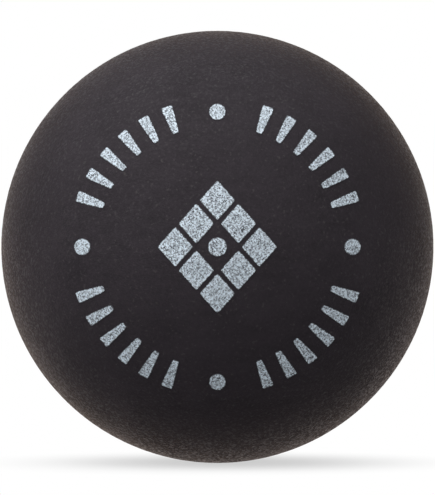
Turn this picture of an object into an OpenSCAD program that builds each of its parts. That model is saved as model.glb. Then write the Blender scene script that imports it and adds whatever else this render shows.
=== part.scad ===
// Squash ball: two moulded rubber half shells, bonded rim to rim, buffed round and pad printed.
// The ball's centre is the origin. The print faces -Y, the joint lies in the plane Y = 0 and +Z is up.

/* [Ball] */
// Outside diameter of the buffed ball
ball_d = 40; // [39.5:0.1:45]
// Thickness of the rubber wall
wall_t = 5; // [4:0.1:6]

/* [Joint] */
// Thickness of the cured adhesive between the two rims
bond_t = 0.2; // [0.1:0.02:0.4]
// Leg of the 45 degree chamfer round the inside edge of each rim
rim_chamfer = 0.8; // [0.6:0.05:1.2]
// How far the adhesive climbs each chamfer, measured along the radius
fillet_climb = 0.5; // [0.4:0.02:0.55]
// Depth of the fillet's hollow as a share of half its opening
fillet_hollow_share = 0.25; // [0.15:0.05:0.3]
// How far the adhesive lies below the rubber round the outside of the joint
joint_recess = 0.05; // [0.02:0.01:0.1]

/* [Ring of marks] */
// Thickness of the dried ink
ink_t = 0.05; // [0.03:0.01:0.1]
// Distance from the print's centre to the middle of a tick
ring_r = 12; // [11:0.1:13.5]
// Length of a tick, along the radius
tick_l = 2.6; // [1.5:0.1:3]
// Width of a tick at its outer end
tick_outer_w = 1.1; // [0.8:0.05:1.4]
// Width of a tick at its inner end
tick_inner_w = 0.6; // [0.4:0.05:0.8]
// Angle from one tick to the next, in degrees
tick_pitch = 10; // [8:0.5:11]
// Number of ticks between two dots
ticks_per_group = 6; // [4:1:6]
// Diameter of the dots between the groups of ticks
ring_dot_d = 1.5; // [1:0.1:2]

/* [Centre mark] */
// Width of one lozenge
lozenge_w = 3.2; // [2:0.1:3.6]
// Height of one lozenge
lozenge_h = 3.6; // [2:0.1:4]
// Gap between neighbouring lozenges, corner to corner
lozenge_gap = 0.5; // [0.3:0.05:0.8]
// Diameter of the dot in the middle of the lozenges
centre_dot_d = 1.7; // [1:0.1:2]

/* [Speed dot] */
// Diameter of the coloured spot on the rear
speed_dot_d = 4.5; // [3:0.1:6]

/* [Hidden] */
$fn = 144;

ball_r = ball_d / 2;
cavity_r = ball_r - wall_t;
bond_half = bond_t / 2;
ring_groups = 4;
lozenge_steps = 1;
// Cuts run past the surfaces that they open by this much
overrun = 0.1;

// Radius at which each rim's flat face turns into its chamfer
chamfer_start_r = cavity_r + rim_chamfer;

rubber_colour = "#343135";
adhesive_colour = "#201f20";
ink_colour = "#a8b4bd";
spot_colour = "#e9c62a";

// The two sides of the ball. Children are drawn with +Z pointing out of the ball.
module on_front() {
    rotate([90, 0, 0]) children();
}

module on_rear() {
    rotate([-90, 0, 0]) children();
}

// Solid ball of the rubber's outside
module ball_body() {
    sphere(r = ball_r);
}

// Everything below the flat rim face of a half shell that opens downwards
module rim_cut() {
    translate([0, 0, bond_half - ball_d])
        cylinder(r = ball_r + overrun, h = ball_d);
}

// Cone that chamfers the inside edge of the rim and ends inside the cavity
module chamfer_cut() {
    translate([0, 0, bond_half - overrun])
        cylinder(
            r1 = chamfer_start_r + overrun,
            r2 = chamfer_start_r - 2 * rim_chamfer,
            h = overrun + 2 * rim_chamfer
        );
}

// One moulded half, dome upwards
module half_shell() {
    difference() {
        ball_body();
        sphere(r = cavity_r);
        rim_cut();
        chamfer_cut();
    }
}

module front_shell() {
    color(rubber_colour) on_front() half_shell();
}

module rear_shell() {
    color(rubber_colour) on_rear() half_shell();
}

// Section of the cured adhesive: a flat web between the rims that widens between the two chamfers
module adhesive_section() {
    climb_r = chamfer_start_r - fillet_climb;
    climb_half = bond_half + fillet_climb;
    hollow_depth = fillet_hollow_share * climb_half;
    hollow_r = (climb_half * climb_half + hollow_depth * hollow_depth) / (2 * hollow_depth);
    hollow_centre = climb_r + hollow_depth - hollow_r;
    difference() {
        polygon([
            [ball_r - joint_recess, -bond_half],
            [ball_r - joint_recess, bond_half],
            [chamfer_start_r, bond_half],
            [climb_r - overrun, climb_half + overrun],
            [climb_r - overrun, -climb_half - overrun],
            [chamfer_start_r, -bond_half]
        ]);
        translate([hollow_centre, 0]) circle(r = hollow_r);
    }
}

module seam_adhesive() {
    color(adhesive_colour) on_front() rotate_extrude() adhesive_section();
}

// Film of ink on the ball's upper side, in the outline of its children
module ink_film() {
    intersection() {
        difference() {
            sphere(r = ball_r + ink_t);
            ball_body();
        }
        linear_extrude(height = ball_d) children();
    }
}

// Wedge-shaped tick that points at the print's centre
module tick() {
    outer_r = ring_r + tick_l / 2;
    inner_r = ring_r - tick_l / 2;
    polygon([
        [inner_r, -tick_inner_w / 2],
        [outer_r, -tick_outer_w / 2],
        [outer_r, tick_outer_w / 2],
        [inner_r, tick_inner_w / 2]
    ]);
}

// Round the print: a dot at each quarter, and a group of ticks between each pair of dots
module ring_marks() {
    quarter = 360 / ring_groups;
    for (group = [0 : ring_groups - 1]) {
        rotate(group * quarter) {
            translate([ring_r, 0]) circle(d = ring_dot_d);
            for (i = [0 : ticks_per_group - 1])
                rotate(quarter / 2 + (i - (ticks_per_group - 1) / 2) * tick_pitch) tick();
        }
    }
}

module ring_print() {
    color(ink_colour) on_front() ink_film() ring_marks();
}

module lozenge() {
    polygon([
        [lozenge_w / 2, 0],
        [0, lozenge_h / 2],
        [-lozenge_w / 2, 0],
        [0, -lozenge_h / 2]
    ]);
}

// Lozenges in a diamond of three by three, with a dot in place of the middle one
module centre_marks() {
    across = (lozenge_w + lozenge_gap) / 2;
    up = (lozenge_h + lozenge_gap) / 2;
    for (i = [-lozenge_steps : lozenge_steps], j = [-lozenge_steps : lozenge_steps])
        if (i != 0 || j != 0)
            translate([(i + j) * across, (i - j) * up]) lozenge();
    circle(d = centre_dot_d);
}

module centre_print() {
    color(ink_colour) on_front() ink_film() centre_marks();
}

module speed_dot() {
    color(spot_colour) on_rear() ink_film() circle(d = speed_dot_d);
}

front_shell();
rear_shell();
seam_adhesive();
ring_print();
centre_print();
speed_dot();
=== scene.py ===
"""Squash ball: two buffed rubber half shells, their bonded joint, and a pad-printed front and rear."""

import math

import bpy
from bpy.props import FloatProperty, FloatVectorProperty, IntProperty, PointerProperty
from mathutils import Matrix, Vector


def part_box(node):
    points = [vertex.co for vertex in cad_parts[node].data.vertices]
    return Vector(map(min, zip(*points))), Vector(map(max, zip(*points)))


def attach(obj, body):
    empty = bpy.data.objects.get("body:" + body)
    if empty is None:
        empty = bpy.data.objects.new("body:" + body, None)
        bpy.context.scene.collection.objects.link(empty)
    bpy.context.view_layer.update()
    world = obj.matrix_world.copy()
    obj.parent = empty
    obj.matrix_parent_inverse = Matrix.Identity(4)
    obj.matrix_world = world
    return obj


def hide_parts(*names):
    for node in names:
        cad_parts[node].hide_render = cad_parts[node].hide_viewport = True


bl_info = {
    "name": "Squash Ball",
    "version": (1, 0, 0),
    "blender": (4, 5, 0),
    "location": "3D View > Sidebar > Squash Ball",
    "description": "Makes a bonded rubber squash ball with its print, and a plain studio round it",
    "category": "Add Mesh",
}

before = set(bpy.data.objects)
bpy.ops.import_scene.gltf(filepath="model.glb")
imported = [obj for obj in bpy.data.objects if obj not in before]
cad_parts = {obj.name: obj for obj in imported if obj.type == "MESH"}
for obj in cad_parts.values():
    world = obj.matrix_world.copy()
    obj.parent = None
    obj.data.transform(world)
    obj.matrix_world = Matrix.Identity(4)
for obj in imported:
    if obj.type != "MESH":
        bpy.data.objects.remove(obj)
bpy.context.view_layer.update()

BODY = "root"
MM = 0.001

# Points closer together than this count as one
TOUCH = 0.001 * MM

# The photograph's size and the ball's circle in it, in pixels
IMAGE_W = 435
IMAGE_H = 495
BALL_CENTRE_PX = (217.4, 246.9)
BALL_RADIUS_PX = 216.06


# Sizes that the frame gives


def ball_radius():
    """Outside radius of the ball, from the box of its front half."""
    return max(abs(c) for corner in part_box("front_shell") for c in corner)


def cavity_radius():
    """Radius of the hollow, from the point of the front half that lies nearest the ball's centre."""
    return min(v.co.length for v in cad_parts["front_shell"].data.vertices)


def joint_gap():
    """Distance from the joint's middle plane to each rubber rim."""
    return -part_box("front_shell")[1].y


def chamfer_radius():
    """Radius at which the flat rim of the front half turns into its inner chamfer."""
    rim_y = -joint_gap() - TOUCH
    rim = [v.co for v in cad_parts["front_shell"].data.vertices if v.co.y > rim_y]
    return min(math.hypot(p.x, p.z) for p in rim)


def ink_thickness():
    """Thickness of the dried ink, from how far the middle of the print stands out of the rubber."""
    return -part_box("centre_print")[0].y - ball_radius()


# Sizes and colours that a user can change


def maker(kind, **same):
    """Makes properties of one kind, each from its name, its description and its default."""

    def make(name, description, default, **own):
        return kind(name=name, description=description, default=default, **same, **own)

    return make


length = maker(FloatProperty, subtype="DISTANCE", unit="LENGTH", precision=6)
colour = maker(FloatVectorProperty, subtype="COLOR", size=3, min=0, max=1)
share = maker(FloatProperty, subtype="FACTOR", min=0, max=1)
level = maker(FloatProperty, min=0)
angle = maker(FloatProperty, subtype="ANGLE", unit="ROTATION")
power = maker(FloatProperty, unit="POWER")
direction = maker(FloatVectorProperty, subtype="DIRECTION", size=3)
place = maker(FloatVectorProperty, subtype="TRANSLATION", unit="LENGTH", size=3)
count = maker(IntProperty)


class RubberSettings(bpy.types.PropertyGroup):
    relief_height: length("Relief height", "Height of the buffed surface's unevenness", 0.012 * MM)
    relief_size: length("Relief size", "Width of the buffed surface's unevenness", 0.55 * MM)
    joint_margin: length("Joint margin", "Band beside the joint where the unevenness ends", 0.7 * MM)
    outer_divisions: count("Outer divisions", "Divisions of the outside's triangles", 8, min=4, max=8)
    inner_divisions: count("Inner divisions", "Divisions of the hollow's triangles", 5, min=3, max=6)
    colour: colour("Rubber", "Colour of the black rubber", (0.0258, 0.0211, 0.0260))
    grain_size: length("Grain size", "Width of the finest grain left by buffing", 0.16 * MM)
    grain_height: length("Grain height", "Height of the finest grain", 0.1 * MM)
    fleck_size: length("Fleck size", "Width of the dust flecks and the spots that glint", 0.26 * MM)
    cloud_size: length("Cloud size", "Width of the slight clouds of tone", 6 * MM)
    adhesive: colour("Adhesive", "Colour of the cured adhesive", (0.0100, 0.0095, 0.0100))


class PrintSettings(bpy.types.PropertyGroup):
    ring_radius: length("Ring radius", "From the print's centre to the middle of a tick", 12 * MM)
    tick_length: length("Tick length", "Length of a tick along the radius", 2.6 * MM)
    tick_outer_width: length("Tick outer width", "Width of a tick at its outer end", 1.1 * MM)
    tick_inner_width: length("Tick inner width", "Width of a tick at its inner end", 0.6 * MM)
    tick_pitch: angle("Tick pitch", "Angle from one tick to the next", math.radians(10))
    ticks_per_group: count("Ticks per group", "Number of ticks between two dots", 6, min=1, max=6)
    groups: count("Groups", "Number of groups of ticks round the ring", 4, min=1, max=4)
    ring_dot: length("Ring dot", "Diameter of the dots between the groups", 1.5 * MM)
    lozenge_width: length("Lozenge width", "Width of one lozenge", 3.2 * MM)
    lozenge_height: length("Lozenge height", "Height of one lozenge", 3.6 * MM)
    lozenge_gap: length("Lozenge gap", "Gap between lozenges, corner to corner", 0.5 * MM)
    centre_dot: length("Centre dot", "Diameter of the dot amid the lozenges", 1.7 * MM)
    colour: colour("Print ink", "Colour of the pale print", (0.66, 0.755, 0.84))
    bareness: share("Print bareness", "How bare the barest specks of the print are", 0.92)


class SpeedDotSettings(bpy.types.PropertyGroup):
    diameter: length("Speed dot", "Diameter of the coloured spot on the rear", 4.5 * MM)
    colour: colour("Spot ink", "Colour of the speed dot", (0.80, 0.55, 0.02))
    bareness: share("Spot bareness", "How bare the barest specks of the speed dot are", 0.4)


class StudioSettings(bpy.types.PropertyGroup):
    camera_distance: length("Camera distance", "From the camera to the ball's centre", 0.4)
    key_side: direction("Key side", "Direction of the strongest soft light", (-0.7, -0.7, 0.16))
    key_level: level("Key level", "Brightness of the strongest soft light", 2.86)
    fill_side: direction("Fill side", "Direction of the soft light on the right", (0.7, -0.7, 0.16))
    fill_level: level("Fill level", "Brightness of the soft light on the right", 1.4)
    left_side: direction("Left side", "Direction of the soft light on the left", (-0.74, 0.0, 0.67))
    left_level: level("Left level", "Brightness of the soft light on the left", 0.95)
    top_side: direction("Top side", "Direction of the soft light overhead", (0.0, 0.0, 1.0))
    top_level: level("Top level", "Brightness of the soft light overhead", 1.71)
    softbox_power: power("Softbox power", "Power of the lamp above the ball", 0.37)
    softbox_size: length("Softbox size", "Length of the lamp's sides", 0.25)
    softbox_place: place("Softbox place", "The lamp's place from the ball's centre", (-0.12, -0.17, 0.41))
    floor: colour("Floor", "Colour of the floor as it lights the ball", (0.30, 0.30, 0.30))
    floor_gloss: colour("Floor gloss", "Colour of the floor as glossy rubber shows it", (1.0, 0.89, 0.85))
    rear_floor: colour("Rear floor", "Colour of the floor behind, as it lights the ball", (0.8, 0.8, 0.8))


class SquashBallSettings(bpy.types.PropertyGroup):
    rubber: PointerProperty(type=RubberSettings)
    front_print: PointerProperty(type=PrintSettings)
    speed_dot: PointerProperty(type=SpeedDotSettings)
    studio: PointerProperty(type=StudioSettings)


# Building node trees

FLOAT = "NodeSocketFloat"
WHOLE = "NodeSocketInt"
VECTOR = "NodeSocketVector"
COLOUR = "NodeSocketColor"
SHAPE = "NodeSocketGeometry"
FINISH = "NodeSocketMaterial"


def floats(*names):
    return [(name, FLOAT) for name in names]


def new_tree(name, kind, inputs, outputs):
    """A node group with its named inputs and outputs, each a (name, kind) pair."""
    tree = bpy.data.node_groups.new(name, kind)
    for title, socket_kind in inputs:
        tree.interface.new_socket(title, in_out="INPUT", socket_type=socket_kind)
    for title, socket_kind in outputs:
        tree.interface.new_socket(title, in_out="OUTPUT", socket_type=socket_kind)
    given = tree.nodes.new("NodeGroupInput").outputs
    made = tree.nodes.new("NodeGroupOutput").inputs
    return tree, given, made


def shape_tree(name, inputs):
    return new_tree(name, "GeometryNodeTree", inputs, [("Shape", SHAPE)])


def add(tree, kind, sockets=None, **settings):
    """Adds a node. Each socket in sockets takes a plain value or another node's output."""
    node = tree.nodes.new(kind)
    node.location = (200 * len(tree.nodes), 0)
    for name, value in settings.items():
        setattr(node, name, value)
    for key, value in (sockets or {}).items():
        if isinstance(value, bpy.types.NodeSocket):
            tree.links.new(value, node.inputs[key])
        else:
            node.inputs[key].default_value = value
    return node


def shape_node(tree, kind, sockets=None, **settings):
    """The first output of a new Geometry Nodes node."""
    return add(tree, "GeometryNode" + kind, sockets, **settings).outputs[0]


def maths(tree, operation, *values):
    sockets = dict(enumerate(values))
    return add(tree, "ShaderNodeMath", sockets, operation=operation).outputs[0]


def plus(tree, first, second):
    return maths(tree, "ADD", first, second)


def minus(tree, first, second):
    return maths(tree, "SUBTRACT", first, second)


def times(tree, first, second):
    return maths(tree, "MULTIPLY", first, second)


def over(tree, first, second):
    return maths(tree, "DIVIDE", first, second)


def square(tree, value):
    return maths(tree, "POWER", value, 2.0)


def hypotenuse(tree, x, y):
    return maths(tree, "SQRT", plus(tree, square(tree, x), square(tree, y)))


def vectors(tree, operation, *values):
    sockets = dict(enumerate(values))
    return add(tree, "ShaderNodeVectorMath", sockets, operation=operation).outputs["Vector"]


def scaled(tree, vector, factor):
    sockets = {"Vector": vector, "Scale": factor}
    return add(tree, "ShaderNodeVectorMath", sockets, operation="SCALE").outputs["Vector"]


def as_vector(tree, x, y, z=0.0):
    return add(tree, "ShaderNodeCombineXYZ", {"X": x, "Y": y, "Z": z}).outputs["Vector"]


def parts_of(tree, vector):
    return add(tree, "ShaderNodeSeparateXYZ", {"Vector": vector}).outputs


def mapped(tree, value, low, high, to_low, to_high, **settings):
    sockets = {"Value": value, "From Min": low, "From Max": high, "To Min": to_low, "To Max": to_high}
    return add(tree, "ShaderNodeMapRange", sockets, **settings).outputs["Result"]


def ramp(tree, value, low, high, to_low=0.0, to_high=1.0):
    """value, led smoothly from low..high to to_low..to_high and held beyond both."""
    return mapped(tree, value, low, high, to_low, to_high, interpolation_type="SMOOTHSTEP")


def ramp_line(tree, value, low, high, to_low, to_high):
    """value, led in a straight line from low..high to to_low..to_high."""
    return mapped(tree, value, low, high, to_low, to_high, clamp=False)


def blended(tree, factor, first, second):
    """A colour between first, at a factor of 0, and second, at 1."""
    sockets = {0: factor, 6: first, 7: second}
    return add(tree, "ShaderNodeMix", sockets, data_type="RGBA").outputs[2]


def between(tree, factor, first, second):
    """A number between first, at a factor of 0, and second, at 1."""
    sockets = {0: factor, 2: first, 3: second}
    return add(tree, "ShaderNodeMix", sockets, data_type="FLOAT").outputs[0]


def noise(tree, vector, size, detail=1.0, roughness=0.5):
    """Soft random values round a half, with features about size wide."""
    scale = over(tree, 1.0, size)
    sockets = {"Vector": vector, "Scale": scale, "Detail": detail, "Roughness": roughness}
    return add(tree, "ShaderNodeTexNoise", sockets).outputs["Fac"]


# Shapes, made by Geometry Nodes. Each is built round +Z and then turned to its side of the ball.

FRONT_TURN = math.radians(90)
REAR_TURN = math.radians(-90)

# Each half's unevenness has its own seed, and takes up this range of its noise
FRONT_SEED = 11.0
REAR_SEED = 23.0
RELIEF_RANGE = (0.25, 0.75)

# Sides of the round cuts, points along and across a mark, and how finely the dots are divided
RIM_SIDES = 192
TICK_POINTS = (27, 9)
LOZENGE_POINTS = (21, 21)
PRINT_DOT_DIVISIONS = 4
SPEED_DOT_DIVISIONS = 6

# How far a cut runs past what it cuts, and how much wider than the ball the flat one is
OVERRUN = 0.1 * MM
CUT_WIDTH_TIMES = 1.1

# Edges that bend by more than this stay crisp
RUBBER_CRISP = math.radians(30)
INK_CRISP = math.radians(50)

# How deep in the rubber a film of ink starts, and how far and how close its corners are drawn in
SEAT_DEPTH = 0.02 * MM
CORNER_INSET = 0.06 * MM
CORNER_POWER = 8.0

# Name of each printed point's distance from its mark's outline
EDGE = "print_edge"

RELIEF_INPUTS = floats("Radius", "Joint Gap", "Joint Margin", "Relief Height", "Relief Size", "Seed")
FILM_INPUTS = RELIEF_INPUTS + [
    *floats("Ink Thickness", "Seat Depth", "Corner Inset", "Turn"),
    ("Material", FINISH),
]


def position(tree):
    return shape_node(tree, "InputPosition")


def outward(tree):
    """Direction from the ball's centre."""
    return vectors(tree, "NORMALIZE", position(tree))


def buffed_relief_tree():
    """How far the buffed rubber stands off the true ball, at any place on a half shell."""
    tree, given, made = new_tree("Buffed Relief", "GeometryNodeTree", RELIEF_INPUTS, floats("Height"))
    on_ball = scaled(tree, outward(tree), given["Radius"])
    sockets = {
        "Vector": on_ball,
        "W": given["Seed"],
        "Scale": over(tree, 1.0, given["Relief Size"]),
        "Detail": 2.0,
        "Roughness": 0.6,
    }
    uneven = add(tree, "ShaderNodeTexNoise", sockets, noise_dimensions="4D").outputs["Fac"]
    swing = ramp_line(tree, uneven, *RELIEF_RANGE, -1.0, 1.0)
    margin_end = plus(tree, given["Joint Gap"], given["Joint Margin"])
    fade = ramp(tree, parts_of(tree, on_ball)["Z"], given["Joint Gap"], margin_end)
    height = times(tree, swing, given["Relief Height"])
    tree.links.new(times(tree, height, fade), made["Height"])
    return tree


def run_group(tree, name, make, given, **own):
    """What a shared group puts out, run on own values and on the tree's inputs of the same names."""
    group = shared_tree(name, make)
    sockets = dict(own)
    for socket in group.interface.items_tree:
        if socket.in_out == "INPUT" and socket.name not in own:
            sockets[socket.name] = given[socket.name]
    return shape_node(tree, "Group", sockets, node_tree=group)


def moved(tree, shape, offset):
    return shape_node(tree, "SetPosition", {"Geometry": shape, "Offset": offset})


def placed(tree, shape, places):
    return shape_node(tree, "SetPosition", {"Geometry": shape, "Position": places})


def joined(tree, *shapes):
    node = add(tree, "GeometryNodeJoinGeometry")
    for shape in shapes:
        tree.links.new(shape, node.inputs[0])
    return node.outputs[0]


def finished(tree, shape, given, made):
    """Turns the shape to its side of the ball and gives it its material."""
    turn = as_vector(tree, given["Turn"], 0.0)
    turned = shape_node(tree, "Transform", {"Geometry": shape, "Rotation": turn})
    real = shape_node(tree, "RealizeInstances", {"Geometry": turned})
    sockets = {"Geometry": real, "Material": given["Material"]}
    tree.links.new(shape_node(tree, "SetMaterial", sockets), made["Shape"])
    return tree


def half_shell_tree():
    """One half of the ball: a buffed sphere, less the hollow, the rim's far side and a chamfer."""
    inputs = RELIEF_INPUTS + [
        *floats("Cavity Radius", "Chamfer Radius", "Turn"),
        ("Outer Divisions", WHOLE),
        ("Inner Divisions", WHOLE),
        ("Material", FINISH),
    ]
    tree, given, made = shape_tree("Half Shell", inputs)

    sockets = {"Radius": given["Radius"], "Subdivisions": given["Outer Divisions"]}
    ball = shape_node(tree, "MeshIcoSphere", sockets)
    relief = run_group(tree, "Buffed Relief", buffed_relief_tree, given)
    outside = moved(tree, ball, scaled(tree, outward(tree), relief))
    sockets = {"Radius": given["Cavity Radius"], "Subdivisions": given["Inner Divisions"]}
    hollow = shape_node(tree, "MeshIcoSphere", sockets)

    cut_depth = times(tree, given["Radius"], 2.0)
    cut_radius = times(tree, given["Radius"], CUT_WIDTH_TIMES)
    sockets = {"Vertices": RIM_SIDES, "Radius": cut_radius, "Depth": cut_depth}
    far_side = shape_node(tree, "MeshCylinder", sockets)
    drop = as_vector(tree, 0.0, 0.0, minus(tree, given["Joint Gap"], given["Radius"]))
    far_side = moved(tree, far_side, drop)

    leg = minus(tree, given["Chamfer Radius"], given["Cavity Radius"])
    twice_leg = times(tree, leg, 2.0)
    sockets = {
        "Vertices": RIM_SIDES,
        "Radius Bottom": plus(tree, given["Chamfer Radius"], OVERRUN),
        "Radius Top": minus(tree, given["Chamfer Radius"], twice_leg),
        "Depth": plus(tree, twice_leg, OVERRUN),
    }
    chamfer = shape_node(tree, "MeshCone", sockets)
    lift = as_vector(tree, 0.0, 0.0, minus(tree, given["Joint Gap"], OVERRUN))
    chamfer = moved(tree, chamfer, lift)

    settings = {"operation": "DIFFERENCE", "solver": "MANIFOLD"}
    cut = add(tree, "GeometryNodeMeshBoolean", {"Mesh 1": outside}, **settings)
    for tool in (hollow, far_side, chamfer):
        tree.links.new(tool, cut.inputs["Mesh 2"])
    shell = shape_node(tree, "Triangulate", {"Mesh": cut.outputs["Mesh"]})
    return finished(tree, crisp_edges(tree, shell, RUBBER_CRISP), given, made)


def crisp_edges(tree, shape, angle):
    """Smooth shading, with every edge sharper than angle left crisp."""
    smooth = shape_node(tree, "SetShadeSmooth", {"Geometry": shape}, domain="FACE")
    bend = shape_node(tree, "InputMeshEdgeAngle")
    sharp = maths(tree, "GREATER_THAN", bend, angle)
    sockets = {"Geometry": smooth, "Selection": sharp, "Shade Smooth": False}
    return shape_node(tree, "SetShadeSmooth", sockets, domain="EDGE")


def with_edge(tree, shape, distance):
    """Keeps each point's distance from the mark's outline, which its material reads."""
    sockets = {"Geometry": shape, "Name": EDGE, "Value": distance}
    return shape_node(tree, "StoreNamedAttribute", sockets, data_type="FLOAT", domain="POINT")


def printed_dot_tree():
    """A flat round mark: half a sphere of even triangles, pressed flat."""
    inputs = [("Dot Diameter", FLOAT), ("Divisions", WHOLE)]
    tree, given, made = shape_tree("Printed Dot", inputs)
    ball = shape_node(tree, "MeshIcoSphere", {"Radius": 1.0, "Subdivisions": given["Divisions"]})
    below = maths(tree, "LESS_THAN", parts_of(tree, position(tree))["Z"], 0.0)
    dome = shape_node(tree, "DeleteGeometry", {"Geometry": ball, "Selection": below}, domain="FACE")
    here = parts_of(tree, outward(tree))
    from_pole = over(tree, maths(tree, "ARCCOSINE", here["Z"]), math.pi / 2)
    radius = over(tree, given["Dot Diameter"], 2.0)
    inside = times(tree, radius, minus(tree, 1.0, from_pole))
    dome = with_edge(tree, dome, inside)
    away = vectors(tree, "NORMALIZE", as_vector(tree, here["X"], here["Y"]))
    flat = scaled(tree, away, times(tree, radius, from_pole))
    tree.links.new(placed(tree, dome, flat), made["Shape"])
    return tree


def mark_grid(tree, along, across):
    """A square grid from -1 to 1 each way, with its two directions and their distances from 0."""
    sockets = {"Size X": 2.0, "Size Y": 2.0, "Vertices X": along, "Vertices Y": across}
    grid = shape_node(tree, "MeshGrid", sockets)
    here = parts_of(tree, position(tree))
    u, v = here["X"], here["Y"]
    return grid, u, v, maths(tree, "ABSOLUTE", u), maths(tree, "ABSOLUTE", v)


def corner_pull(tree, size_u, size_v, inset):
    """How far a point near a corner is drawn in, so that printed corners are a little round."""
    nearness = maths(tree, "POWER", times(tree, size_u, size_v), CORNER_POWER)
    return times(tree, nearness, inset)


def printed_tick_tree():
    """A flat wedge along X, narrow at its inner end."""
    inputs = floats("Tick Length", "Tick Outer Width", "Tick Inner Width", "Corner Inset")
    tree, given, made = shape_tree("Printed Tick", inputs)
    grid, u, v, size_u, size_v = mark_grid(tree, *TICK_POINTS)
    half_length = over(tree, given["Tick Length"], 2.0)
    width = ramp_line(tree, u, -1.0, 1.0, given["Tick Inner Width"], given["Tick Outer Width"])
    half_width = over(tree, width, 2.0)
    from_end = times(tree, minus(tree, 1.0, size_u), half_length)
    from_side = times(tree, minus(tree, 1.0, size_v), half_width)
    grid = with_edge(tree, grid, maths(tree, "MINIMUM", from_end, from_side))
    pull = corner_pull(tree, size_u, size_v, given["Corner Inset"])
    x = times(tree, u, minus(tree, half_length, pull))
    y = times(tree, v, minus(tree, half_width, pull))
    tree.links.new(placed(tree, grid, as_vector(tree, x, y)), made["Shape"])
    return tree


def printed_lozenge_tree():
    """A flat lozenge that stands on its corner."""
    inputs = floats("Lozenge Width", "Lozenge Height", "Corner Inset")
    tree, given, made = shape_tree("Printed Lozenge", inputs)
    grid, u, v, size_u, size_v = mark_grid(tree, *LOZENGE_POINTS)
    half_width = over(tree, given["Lozenge Width"], 2.0)
    half_height = over(tree, given["Lozenge Height"], 2.0)
    area = times(tree, half_width, half_height)
    to_side = over(tree, area, hypotenuse(tree, half_width, half_height))
    outermost = maths(tree, "MAXIMUM", size_u, size_v)
    inside = times(tree, minus(tree, 1.0, outermost), to_side)
    grid = with_edge(tree, grid, inside)
    pull = corner_pull(tree, size_u, size_v, given["Corner Inset"])
    x_share = over(tree, plus(tree, u, v), 2.0)
    y_share = over(tree, minus(tree, v, u), 2.0)
    x = times(tree, x_share, minus(tree, half_width, pull))
    y = times(tree, y_share, minus(tree, half_height, pull))
    tree.links.new(placed(tree, grid, as_vector(tree, x, y)), made["Shape"])
    return tree


def ink_film(tree, marks, given):
    """Wraps flat marks on the ball, over its buffed relief, and closes them to a film of ink."""
    real = shape_node(tree, "RealizeInstances", {"Geometry": marks})
    here = parts_of(tree, position(tree))
    whole, x_part, y_part = [square(tree, size) for size in (given["Radius"], here["X"], here["Y"])]
    rise = maths(tree, "SQRT", minus(tree, minus(tree, whole, x_part), y_part))
    wrapped = placed(tree, real, as_vector(tree, here["X"], here["Y"], rise))
    relief = run_group(tree, "Buffed Relief", buffed_relief_tree, given)
    seat = minus(tree, relief, given["Seat Depth"])
    seated = moved(tree, wrapped, scaled(tree, outward(tree), seat))
    depth = plus(tree, given["Ink Thickness"], given["Seat Depth"])
    sockets = {"Mesh": seated, "Offset": outward(tree), "Offset Scale": depth, "Individual": False}
    raised = shape_node(tree, "ExtrudeMesh", sockets)
    base = shape_node(tree, "FlipFaces", {"Mesh": seated})
    sockets = {"Geometry": joined(tree, raised, base), "Distance": TOUCH}
    closed = shape_node(tree, "MergeByDistance", sockets)
    return crisp_edges(tree, closed, INK_CRISP)


def index(tree):
    return shape_node(tree, "InputIndex")


def copies(tree, amount, places, mark, turn=0.0, chosen=True):
    """amount copies of mark at places, each turned about Z."""
    points = shape_node(tree, "Points", {"Count": amount, "Position": places})
    rotation = as_vector(tree, 0.0, 0.0, turn)
    sockets = {"Points": points, "Selection": chosen, "Instance": mark, "Rotation": rotation}
    return shape_node(tree, "InstanceOnPoints", sockets)


def round_the_ring(tree, angle, radius):
    x = times(tree, maths(tree, "COSINE", angle), radius)
    y = times(tree, maths(tree, "SINE", angle), radius)
    return as_vector(tree, x, y)


def ring_print_tree():
    """Groups of ticks round the print, with a dot between each two groups."""
    inputs = FILM_INPUTS + [
        *floats("Ring Radius", "Tick Length", "Tick Outer Width", "Tick Inner Width"),
        *floats("Tick Pitch", "Dot Diameter"),
        ("Ticks Per Group", WHOLE),
        ("Groups", WHOLE),
    ]
    tree, given, made = shape_tree("Ring Print", inputs)
    step = over(tree, 2 * math.pi, given["Groups"])

    per_group = given["Ticks Per Group"]
    group = maths(tree, "FLOOR", over(tree, index(tree), per_group))
    in_group = maths(tree, "MODULO", index(tree), per_group)
    middle = over(tree, minus(tree, per_group, 1.0), 2.0)
    aside = times(tree, minus(tree, in_group, middle), given["Tick Pitch"])
    group_angle = times(tree, plus(tree, group, 0.5), step)
    angle = plus(tree, group_angle, aside)
    one_tick = run_group(tree, "Printed Tick", printed_tick_tree, given)
    amount = times(tree, given["Groups"], per_group)
    ticks = copies(tree, amount, round_the_ring(tree, angle, given["Ring Radius"]), one_tick, angle)

    dot_angle = times(tree, index(tree), step)
    one_dot = run_group(tree, "Printed Dot", printed_dot_tree, given, Divisions=PRINT_DOT_DIVISIONS)
    dot_places = round_the_ring(tree, dot_angle, given["Ring Radius"])
    dots = copies(tree, given["Groups"], dot_places, one_dot)
    film = ink_film(tree, joined(tree, ticks, dots), given)
    return finished(tree, film, given, made)


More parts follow.
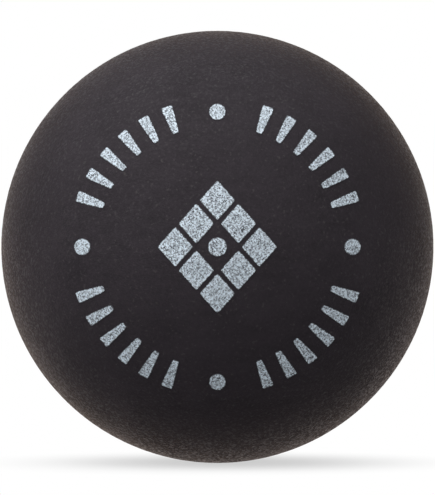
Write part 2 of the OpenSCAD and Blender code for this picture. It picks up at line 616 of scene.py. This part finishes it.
def centre_print_tree():
    """Lozenges in a diamond of three by three, with a dot in place of the middle one."""
    sizes = floats("Lozenge Width", "Lozenge Height", "Lozenge Gap", "Dot Diameter")
    inputs = FILM_INPUTS + sizes
    tree, given, made = shape_tree("Centre Print", inputs)
    rows = 3
    middle = (rows - 1) / 2
    row = maths(tree, "FLOOR", over(tree, index(tree), rows))
    i = minus(tree, maths(tree, "MODULO", index(tree), rows), middle)
    j = minus(tree, row, middle)
    steps = [
        over(tree, plus(tree, given[size], given["Lozenge Gap"]), 2.0)
        for size in ("Lozenge Width", "Lozenge Height")
    ]
    x = times(tree, plus(tree, i, j), steps[0])
    y = times(tree, minus(tree, i, j), steps[1])
    off_centre = plus(tree, maths(tree, "ABSOLUTE", i), maths(tree, "ABSOLUTE", j))
    one_lozenge = run_group(tree, "Printed Lozenge", printed_lozenge_tree, given)
    chosen = maths(tree, "GREATER_THAN", off_centre, 0.5)
    lozenges = copies(tree, rows * rows, as_vector(tree, x, y), one_lozenge, chosen=chosen)
    middle_dot = run_group(tree, "Printed Dot", printed_dot_tree, given, Divisions=PRINT_DOT_DIVISIONS)
    film = ink_film(tree, joined(tree, lozenges, middle_dot), given)
    return finished(tree, film, given, made)


def speed_dot_tree():
    """One round spot."""
    inputs = FILM_INPUTS + floats("Dot Diameter")
    tree, given, made = shape_tree("Speed Dot", inputs)
    mark = run_group(tree, "Printed Dot", printed_dot_tree, given, Divisions=SPEED_DOT_DIVISIONS)
    return finished(tree, ink_film(tree, mark, given), given, made)


def shape_from(tree, name, values):
    """Runs a tree with its inputs set by name, and leaves the result as a plain mesh."""
    source = bpy.data.objects.new(name + "_source", bpy.data.meshes.new(name + "_source"))
    bpy.context.scene.collection.objects.link(source)
    modifier = source.modifiers.new(tree.name, "NODES")
    modifier.node_group = tree
    for socket in tree.interface.items_tree:
        if socket.in_out == "INPUT":
            modifier[socket.identifier] = values[socket.name]
    graph = bpy.context.evaluated_depsgraph_get()
    mesh = bpy.data.meshes.new_from_object(source.evaluated_get(graph), depsgraph=graph)
    mesh.name = name
    for slot in reversed(range(len(mesh.materials))):
        if mesh.materials[slot] is None:
            mesh.materials.pop(index=slot)
    bpy.data.objects.remove(source)
    piece = bpy.data.objects.new(name, mesh)
    bpy.context.scene.collection.objects.link(piece)
    if not mesh.polygons:
        raise RuntimeError(f"{name} came out empty")
    return piece


def shared_tree(name, make):
    """The node group of that name, made if it isn't there yet."""
    return bpy.data.node_groups.get(name) or make()


# Finishes

# Where most values of a soft noise lie, and of one with fine layers
SOFT_RANGE = (0.3, 0.7)
FINE_RANGE = (0.35, 0.65)

# The grain's coarse layer, and the values of its speck noise that show as dust flecks, at shares of
# 0 and 1, and as spots that glint
COARSE_TIMES = 3.1
COARSE_SHARE = 0.3
FLECKS_FROM = (0.75, 0.50)
FLECK_EDGE = 0.05
GLINT_RANGE = (0.53, 0.58)

# How far clouds, grain and streaks lighten or darken rubber, the streaks' form, and the dust
CLOUD_SWING = 0.10
GRAIN_SWING = 0.14
STREAK_SWING = 0.08
STREAK_SQUEEZE = (0.15, 0.8, 1.0)
STREAKS_PER_CLOUD = 8.0
FLECK_SHARE = 0.28
DUST_STRENGTH = 0.24
DUST = (0.10, 0.095, 0.09, 1.0)
RUBBER_ROUGHNESS = (0.75, 0.67)

# The dull warm bloom that matt rubber shows at a glancing angle
RUBBER_BLOOM = {
    "IOR": 1.5,
    "Specular IOR Level": 0.155,
    "Sheen Weight": 0.13,
    "Sheen Roughness": 0.25,
    "Sheen Tint": (1.0, 0.66, 0.42, 1.0),
    "Coat Roughness": 0.38,
    "Coat IOR": 1.12,
}

# Ink on grained rubber: its bare specks, thin patches, fuller rim and ragged outline
SPECK_SIZE = 0.105 * MM
SPECK_RANGE = (0.05, 0.85)
NOTCHES_PER_SPECK = 2.5
PATCH_TIMES = 14.0
PATCH_SWING = 0.12
TONE_SWING = 0.05
EDGE_WEAR = 0.07 * MM
RIM_TIMES = 4.0
RIM_GAIN = 0.13
RAGGED_TIMES = 1.5
OUTLINE_SHARE = 0.5
OUTLINE_LEAST = 0.1
INK_ROUGHNESS = (0.68, 0.55)


def swung(tree, value, usual, swing):
    """A factor round 1, less or more by swing at the two ends of the noise's usual range."""
    return ramp_line(tree, value, *usual, 1.0 - swing, 1.0 + swing)


def grain_group():
    """Fine random grain, as a height from 0 to 1, as sparse pale flecks and as spots that glint."""
    inputs = [("Vector", VECTOR), *floats("Grain Size", "Fleck Size", "Fleck Share")]
    outputs = floats("Height", "Flecks", "Glints")
    tree, given, made = new_tree("Buffed Grain", "ShaderNodeTree", inputs, outputs)
    where = given["Vector"]
    fine = noise(tree, where, given["Grain Size"], detail=3.0, roughness=0.65)
    coarse = noise(tree, where, times(tree, given["Grain Size"], COARSE_TIMES))
    fine_part = times(tree, fine, 1.0 - COARSE_SHARE)
    coarse_part = times(tree, coarse, COARSE_SHARE)
    tree.links.new(plus(tree, fine_part, coarse_part), made["Height"])
    speck = noise(tree, where, given["Fleck Size"])
    least = ramp_line(tree, given["Fleck Share"], 0.0, 1.0, *FLECKS_FROM)
    tree.links.new(ramp(tree, speck, least, plus(tree, least, FLECK_EDGE)), made["Flecks"])
    tree.links.new(ramp(tree, speck, *GLINT_RANGE), made["Glints"])
    return tree


def rubber_tone_group():
    """Colour and roughness of black rubber: slight clouds, streaks from buffing and pale dust flecks."""
    inputs = [("Vector", VECTOR), ("Rubber", COLOUR), *floats("Grain", "Flecks", "Cloud Size")]
    outputs = [("Color", COLOUR), ("Roughness", FLOAT)]
    tree, given, made = new_tree("Rubber Tone", "ShaderNodeTree", inputs, outputs)
    cloud = noise(tree, given["Vector"], given["Cloud Size"], detail=4.0, roughness=0.6)
    drawn_out = vectors(tree, "MULTIPLY", given["Vector"], STREAK_SQUEEZE)
    streak_size = over(tree, given["Cloud Size"], STREAKS_PER_CLOUD)
    streaks = noise(tree, drawn_out, streak_size, detail=2.0)
    lightness = swung(tree, cloud, SOFT_RANGE, CLOUD_SWING)
    lightness = times(tree, lightness, swung(tree, given["Grain"], FINE_RANGE, GRAIN_SWING))
    lightness = times(tree, lightness, swung(tree, streaks, SOFT_RANGE, STREAK_SWING))
    dust = times(tree, given["Flecks"], DUST_STRENGTH)
    tone = blended(tree, dust, scaled(tree, given["Rubber"], lightness), DUST)
    tree.links.new(tone, made["Color"])
    tree.links.new(ramp_line(tree, cloud, *SOFT_RANGE, *RUBBER_ROUGHNESS), made["Roughness"])
    return tree


def cells(tree, vector, size):
    """A random value from 0 to 1 for each little ragged cell, about size wide."""
    scale = over(tree, 1.0, size)
    notches = times(tree, scale, NOTCHES_PER_SPECK)
    sockets = {"Vector": vector, "Scale": notches, "Detail": 2.0}
    wobble = add(tree, "ShaderNodeTexNoise", sockets).outputs["Color"]
    centred = vectors(tree, "SUBTRACT", wobble, (0.5, 0.5, 0.5))
    ragged = vectors(tree, "ADD", vector, scaled(tree, centred, size))
    return add(tree, "ShaderNodeTexVoronoi", {"Vector": ragged, "Scale": scale}).outputs["Color"]


def ink_cover_group():
    """Share of the rubber that ink hides: bare specks, thin patches, a full rim and a ragged outline."""
    inputs = [("Vector", VECTOR), *floats("Speck Size", "Bareness", "Edge", "Edge Wear")]
    tree, given, made = new_tree("Ink Cover", "ShaderNodeTree", inputs, floats("Cover", "Tone"))
    where, size, edge, wear = [given[name] for name in ("Vector", "Speck Size", "Edge", "Edge Wear")]
    specks = cells(tree, where, size)
    patches = noise(tree, where, times(tree, size, PATCH_TIMES))
    thinness = swung(tree, patches, SOFT_RANGE, PATCH_SWING)
    barest = times(tree, given["Bareness"], thinness)
    body = ramp(tree, specks, *SPECK_RANGE, minus(tree, 1.0, barest), 1.0)
    rim = ramp(tree, edge, wear, times(tree, wear, RIM_TIMES), RIM_GAIN, 0.0)
    filled = maths(tree, "MINIMUM", plus(tree, body, rim), 1.0)
    ragged = noise(tree, where, times(tree, size, RAGGED_TIMES))
    bare = ramp_line(tree, ragged, *FINE_RANGE, 0.0, wear)
    solid = plus(tree, bare, times(tree, wear, OUTLINE_SHARE))
    outline = ramp(tree, edge, bare, solid, OUTLINE_LEAST, 1.0)
    tree.links.new(times(tree, filled, outline), made["Cover"])
    tree.links.new(swung(tree, patches, SOFT_RANGE, TONE_SWING), made["Tone"])
    return tree


def soft_light_group():
    """Light from one side of the room, strongest straight from that side and fading round it."""
    inputs = [("Toward", VECTOR), ("Side", VECTOR), *floats("Level", "Narrowness")]
    tree, given, made = new_tree("Soft Light", "ShaderNodeTree", inputs, floats("Strength"))
    unit_side = vectors(tree, "NORMALIZE", given["Side"])
    sockets = {0: given["Toward"], 1: unit_side}
    facing = add(tree, "ShaderNodeVectorMath", sockets, operation="DOT_PRODUCT").outputs["Value"]
    fall = times(tree, minus(tree, facing, 1.0), given["Narrowness"])
    tree.links.new(times(tree, maths(tree, "EXPONENT", fall), given["Level"]), made["Strength"])
    return tree


def new_material(name):
    """A material with its one Principled shader, and the object's own coordinates to read."""
    material = bpy.data.materials.new(name)
    material.use_nodes = True
    tree = material.node_tree
    shader = tree.nodes["Principled BSDF"]
    where = add(tree, "ShaderNodeTexCoord").outputs["Object"]
    return material, tree, shader, where


def grain_on(tree, where, settings, shader, fleck_share=0.0):
    """Roughens the shader with the grain, and gives the grain's height, flecks and glints."""
    sockets = {
        "Vector": where,
        "Grain Size": settings.grain_size,
        "Fleck Size": settings.fleck_size,
        "Fleck Share": fleck_share,
    }
    group = shared_tree("Buffed Grain", grain_group)
    grain = add(tree, "ShaderNodeGroup", sockets, node_tree=group).outputs
    sockets = {"Height": grain["Height"], "Distance": settings.grain_height, "Strength": 1.0}
    bump = add(tree, "ShaderNodeBump", sockets).outputs[0]
    tree.links.new(bump, shader.inputs["Normal"])
    return grain


def rubber_tone(tree, where, settings, rubber, grain):
    """Colour and roughness of rubber whose plain colour is given."""
    group = shared_tree("Rubber Tone", rubber_tone_group)
    sockets = {
        "Vector": where,
        "Rubber": (*rubber, 1.0),
        "Grain": grain["Height"],
        "Flecks": grain["Flecks"],
        "Cloud Size": settings.cloud_size,
    }
    return add(tree, "ShaderNodeGroup", sockets, node_tree=group).outputs


def matt_rubber(title, rubber, settings, fleck_share=0.0):
    """Grained rubber of the given colour: its material, nodes, shader and grain."""
    material, tree, shader, where = new_material(title)
    grain = grain_on(tree, where, settings, shader, fleck_share)
    tone = rubber_tone(tree, where, settings, rubber, grain)
    tree.links.new(tone["Color"], shader.inputs["Base Color"])
    tree.links.new(tone["Roughness"], shader.inputs["Roughness"])
    for name, value in RUBBER_BLOOM.items():
        shader.inputs[name].default_value = value
    return material, tree, shader, grain


def buffed_rubber(settings):
    """The shells' rubber, with dust on it and spots that glint."""
    material, tree, shader, grain = matt_rubber("Buffed Rubber", settings.colour, settings, FLECK_SHARE)
    tree.links.new(grain["Glints"], shader.inputs["Coat Weight"])
    return material


def cured_adhesive(settings):
    return matt_rubber("Cured Adhesive", settings.adhesive, settings)[0]


def pad_ink(name, ink, settings):
    """Matt ink on grained rubber: full where it took, dark where the grain's pits stayed bare."""
    material, tree, shader, where = new_material(name)
    grain = grain_on(tree, where, settings, shader)
    rubber = rubber_tone(tree, where, settings, settings.colour, grain)
    sockets = {
        "Vector": where,
        "Speck Size": SPECK_SIZE,
        "Bareness": ink.bareness,
        "Edge": add(tree, "ShaderNodeAttribute", attribute_name=EDGE).outputs["Fac"],
        "Edge Wear": EDGE_WEAR,
    }
    group = shared_tree("Ink Cover", ink_cover_group)
    cover = add(tree, "ShaderNodeGroup", sockets, node_tree=group).outputs
    toned = scaled(tree, (*ink.colour,), cover["Tone"])
    mixed = blended(tree, cover["Cover"], rubber["Color"], toned)
    roughness = ramp_line(tree, cover["Cover"], 0.0, 1.0, *INK_ROUGHNESS)
    tree.links.new(mixed, shader.inputs["Base Color"])
    tree.links.new(roughness, shader.inputs["Roughness"])
    shader.inputs["Specular IOR Level"].default_value = 0.25
    return material


# The studio's floor and the light round it

FLOOR_SIZE = 4.0

# How quickly each soft light fades round its side
NARROWNESS = 6.0

# The matt floor as the camera sees it, and as a glossy surface shows it
FLOOR_SEEN = (0.7, 0.7, 0.7, 1.0)
FLOOR_MIRRORED = (0.1, 0.1, 0.1, 1.0)
WHITE = (1.0, 1.0, 1.0, 1.0)

# Distances on the floor, in radii: across the shadow, from before the ball to behind it, and from
# under the ball to beside it
SHADOW_REACH = (0.2, 1.3)
BEHIND_REACH = (-0.5, 0.5)
UNDER_REACH = (0.4, 1.4)
SHADOW_WHITE = 0.6

# How far aslant a glossy surface sees the floor while the floor turns to white
GLANCE_RANGE = (0.02, 0.35)

# The white wall behind, as a glossy surface shows it: how far round, how high, and what is left above
WALL_ROUND = (0.7, 1.0)
WALL_HEIGHT = (0.0, 0.6)
WALL_TOP = 0.5


def pale_floor(studio, radius):
    """White to the camera but for the ball's shadow, and plain grey where it lights the ball."""
    material, tree, shader, where = new_material("Pale Floor")
    tree.nodes.remove(shader)
    path = add(tree, "ShaderNodeLightPath").outputs
    glossy = path["Is Glossy Ray"]
    mirrored = maths(tree, "MAXIMUM", glossy, path["Is Transmission Ray"])
    seen = maths(tree, "MAXIMUM", path["Is Camera Ray"], mirrored)
    here = parts_of(tree, where)
    from_ball = hypotenuse(tree, here["X"], here["Y"])
    in_metres = [[radius * end for end in reach] for reach in (SHADOW_REACH, BEHIND_REACH, UNDER_REACH)]
    shadow_ends, behind_ends, under_ends = in_metres

    behind = ramp(tree, here["Y"], *behind_ends)
    lighting = blended(tree, behind, (*studio.floor, 1.0), (*studio.rear_floor, 1.0))
    tone = blended(tree, seen, lighting, blended(tree, glossy, FLOOR_SEEN, FLOOR_MIRRORED))
    matt = add(tree, "ShaderNodeBsdfDiffuse", {"Color": tone}).outputs[0]
    shine = blended(tree, glossy, WHITE, (*studio.floor_gloss, 1.0))
    white = add(tree, "ShaderNodeEmission", {"Color": shine, "Strength": 1.0}).outputs[0]

    shadow = ramp(tree, from_ball, *shadow_ends, SHADOW_WHITE, 1.0)
    facing = add(tree, "ShaderNodeLayerWeight", {"Blend": 0.5}).outputs["Facing"]
    backdrop = maths(tree, "MAXIMUM", ramp(tree, from_ball, *under_ends, 1.0, 0.0), behind)
    glance = times(tree, ramp(tree, facing, *GLANCE_RANGE), backdrop)
    share_of_white = times(tree, seen, between(tree, glossy, shadow, glance))
    surface = add(tree, "ShaderNodeMixShader", {0: share_of_white, 1: matt, 2: white}).outputs[0]
    tree.links.new(surface, tree.nodes["Material Output"].inputs["Surface"])
    return material


def studio_world(studio):
    """Soft light from four sides, and plain white where the camera sees past the floor."""
    world = bpy.data.worlds.new("Studio")
    world.use_nodes = True
    tree = world.node_tree
    toward = add(tree, "ShaderNodeNewGeometry").outputs["Position"]
    group = shared_tree("Soft Light", soft_light_group)
    sides = (
        (studio.key_side, studio.key_level),
        (studio.fill_side, studio.fill_level),
        (studio.left_side, studio.left_level),
        (studio.top_side, studio.top_level),
    )
    lit = 0.0
    for side, strength in sides:
        sockets = {"Toward": toward, "Side": side, "Level": strength, "Narrowness": NARROWNESS}
        one = add(tree, "ShaderNodeGroup", sockets, node_tree=group).outputs["Strength"]
        lit = plus(tree, lit, one)
    path = add(tree, "ShaderNodeLightPath").outputs
    behind = ramp(tree, parts_of(tree, toward)["Y"], *WALL_ROUND)
    low_down = ramp(tree, parts_of(tree, toward)["Z"], *WALL_HEIGHT, 1.0, WALL_TOP)
    wall = times(tree, behind, low_down)
    mirrored = times(tree, path["Is Glossy Ray"], wall)
    clear = maths(tree, "MAXIMUM", path["Is Camera Ray"], path["Is Transmission Ray"])
    white = maths(tree, "MAXIMUM", clear, mirrored)
    background = tree.nodes["Background"].inputs
    background["Color"].default_value = WHITE
    tree.links.new(between(tree, white, lit, 1.0), background["Strength"])
    return world


# Operators


def as_set(settings, *names):
    """Values for inputs of these names, from the settings of the same names."""
    return {name: getattr(settings, name.lower().replace(" ", "_")) for name in names}


class BallOperator:
    """What every operator of this ball shares."""

    bl_options = {"REGISTER", "UNDO"}

    def rubber(self, context):
        return context.scene.squash_ball.rubber

    def relief_values(self, context, turn, seed):
        return {
            **as_set(self.rubber(context), "Joint Margin", "Relief Height", "Relief Size"),
            "Radius": ball_radius(),
            "Joint Gap": joint_gap(),
            "Turn": turn,
            "Seed": seed,
        }

    def film_values(self, context, turn, seed, material):
        return {
            **self.relief_values(context, turn, seed),
            "Ink Thickness": ink_thickness(),
            "Seat Depth": SEAT_DEPTH,
            "Corner Inset": CORNER_INSET,
            "Material": material,
        }

    def hand_over(self, piece, node, slot):
        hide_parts(node)
        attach(piece, BODY)


class SQUASHBALL_OT_half_shells(BallOperator, bpy.types.Operator):
    """Make the front and rear half shells of buffed rubber"""

    bl_idname = "squashball.half_shells"
    bl_label = "Half shells"

    def execute(self, context):
        rubber = self.rubber(context)
        tree = shared_tree("Half Shell", half_shell_tree)
        material = buffed_rubber(rubber)
        sides = (("front_shell", FRONT_TURN, FRONT_SEED), ("rear_shell", REAR_TURN, REAR_SEED))
        for node, turn, seed in sides:
            values = {
                **self.relief_values(context, turn, seed),
                **as_set(rubber, "Outer Divisions", "Inner Divisions"),
                "Cavity Radius": cavity_radius(),
                "Chamfer Radius": chamfer_radius(),
                "Material": material,
            }
            piece = shape_from(tree, node + "_rubber", values)
            self.hand_over(piece, node, "rubber")
        return {"FINISHED"}


class SQUASHBALL_OT_seam_adhesive(BallOperator, bpy.types.Operator):
    """Give the bonded joint its cured adhesive finish"""

    bl_idname = "squashball.seam_adhesive"
    bl_label = "Seam adhesive"

    def execute(self, context):
        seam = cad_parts["seam_adhesive"]
        seam.data.materials.clear()
        seam.data.materials.append(cured_adhesive(self.rubber(context)))
        return {"FINISHED"}


class SQUASHBALL_OT_front_print(BallOperator, bpy.types.Operator):
    """Print the ring of ticks and the lozenge mark on the front"""

    bl_idname = "squashball.front_print"
    bl_label = "Front print"

    def execute(self, context):
        sizes = context.scene.squash_ball.front_print
        ink = pad_ink("Pale Pad Ink", sizes, self.rubber(context))
        film = self.film_values(context, FRONT_TURN, FRONT_SEED, ink)
        ring = {
            **film,
            **as_set(sizes, "Ring Radius", "Tick Length", "Tick Outer Width", "Tick Inner Width"),
            **as_set(sizes, "Tick Pitch", "Ticks Per Group", "Groups"),
            "Dot Diameter": sizes.ring_dot,
        }
        tree = shared_tree("Ring Print", ring_print_tree)
        self.hand_over(shape_from(tree, "ring_print_film", ring), "ring_print", "print_ink")
        centre = {
            **film,
            **as_set(sizes, "Lozenge Width", "Lozenge Height", "Lozenge Gap"),
            "Dot Diameter": sizes.centre_dot,
        }
        tree = shared_tree("Centre Print", centre_print_tree)
        self.hand_over(shape_from(tree, "centre_print_film", centre), "centre_print", "print_ink")
        return {"FINISHED"}


class SQUASHBALL_OT_speed_dot(BallOperator, bpy.types.Operator):
    """Print the coloured speed dot on the rear"""

    bl_idname = "squashball.speed_dot"
    bl_label = "Speed dot"

    def execute(self, context):
        sizes = context.scene.squash_ball.speed_dot
        tree = shared_tree("Speed Dot", speed_dot_tree)
        ink = pad_ink("Yellow Spot Ink", sizes, self.rubber(context))
        values = self.film_values(context, REAR_TURN, REAR_SEED, ink)
        values["Dot Diameter"] = sizes.diameter
        self.hand_over(shape_from(tree, "speed_dot_film", values), "speed_dot", "spot_ink")
        return {"FINISHED"}


class SQUASHBALL_OT_studio(BallOperator, bpy.types.Operator):
    """Set up the pale floor, the soft light and the camera"""

    bl_idname = "squashball.studio"
    bl_label = "Studio"

    def execute(self, context):
        studio = context.scene.squash_ball.studio
        radius = ball_radius()
        self.make_floor(context, studio, radius)
        self.make_light(context, studio)
        self.make_camera(context, studio, radius)
        context.scene.view_settings.view_transform = "Standard"
        return {"FINISHED"}

    def make_floor(self, context, studio, radius):
        half = FLOOR_SIZE / 2
        corners = [(-half, -half), (half, -half), (half, half), (-half, half)]
        mesh = bpy.data.meshes.new("floor")
        mesh.from_pydata([(x, y, -radius) for x, y in corners], [], [(0, 1, 2, 3)])
        mesh.materials.append(pale_floor(studio, radius))
        floor = bpy.data.objects.new("floor", mesh)
        context.scene.collection.objects.link(floor)

    def make_light(self, context, studio):
        context.scene.world = studio_world(studio)
        lamp = bpy.data.lights.new("softbox", "AREA")
        lamp.shape = "SQUARE"
        lamp.size = studio.softbox_size
        lamp.energy = studio.softbox_power
        softbox = bpy.data.objects.new("softbox", lamp)
        softbox.location = studio.softbox_place
        aim = -Vector(studio.softbox_place)
        softbox.rotation_euler = aim.to_track_quat("-Z", "Y").to_euler()
        context.scene.collection.objects.link(softbox)

    def make_camera(self, context, studio, radius):
        distance = studio.camera_distance
        focal_px = BALL_RADIUS_PX / math.tan(math.asin(radius / distance))
        lens = bpy.data.cameras.new("camera")
        lens.lens = focal_px * lens.sensor_width / max(IMAGE_W, IMAGE_H)
        lens.clip_start = distance / 10
        camera = bpy.data.objects.new("camera", lens)
        metres_per_px = distance / focal_px
        aside = (IMAGE_W / 2 - BALL_CENTRE_PX[0]) * metres_per_px
        above = (BALL_CENTRE_PX[1] - IMAGE_H / 2) * metres_per_px
        camera.location = Vector((aside, -distance, above))
        camera.rotation_euler = (math.radians(90), 0.0, 0.0)
        context.scene.collection.objects.link(camera)
        context.scene.camera = camera


class SQUASHBALL_PT_sidebar(bpy.types.Panel):
    """Lists the ball's pieces and their sizes in the sidebar"""

    bl_label = "Squash Ball"
    bl_space_type = "VIEW_3D"
    bl_region_type = "UI"
    bl_category = "Squash Ball"

    def draw(self, context):
        settings = context.scene.squash_ball
        groups = (settings.rubber, settings.front_print, settings.speed_dot, settings.studio)
        for step in STEPS:
            self.layout.operator(step.bl_idname)
        for group in groups:
            box = self.layout.box()
            for name in group.__annotations__:
                box.prop(group, name)


STEPS = (
    SQUASHBALL_OT_studio,
    SQUASHBALL_OT_half_shells,
    SQUASHBALL_OT_seam_adhesive,
    SQUASHBALL_OT_front_print,
    SQUASHBALL_OT_speed_dot,
)
CLASSES = (
    RubberSettings,
    PrintSettings,
    SpeedDotSettings,
    StudioSettings,
    SquashBallSettings,
    *STEPS,
    SQUASHBALL_PT_sidebar,
)


def register():
    for kind in CLASSES:
        bpy.utils.register_class(kind)
    bpy.types.Scene.squash_ball = PointerProperty(type=SquashBallSettings)


def unregister():
    del bpy.types.Scene.squash_ball
    for kind in reversed(CLASSES):
        bpy.utils.unregister_class(kind)


def main():
    register()
    bpy.ops.squashball.studio()
    bpy.ops.squashball.half_shells()
    bpy.ops.squashball.seam_adhesive()
    bpy.ops.squashball.front_print()
    bpy.ops.squashball.speed_dot()


if __name__ == "__main__":
    main()
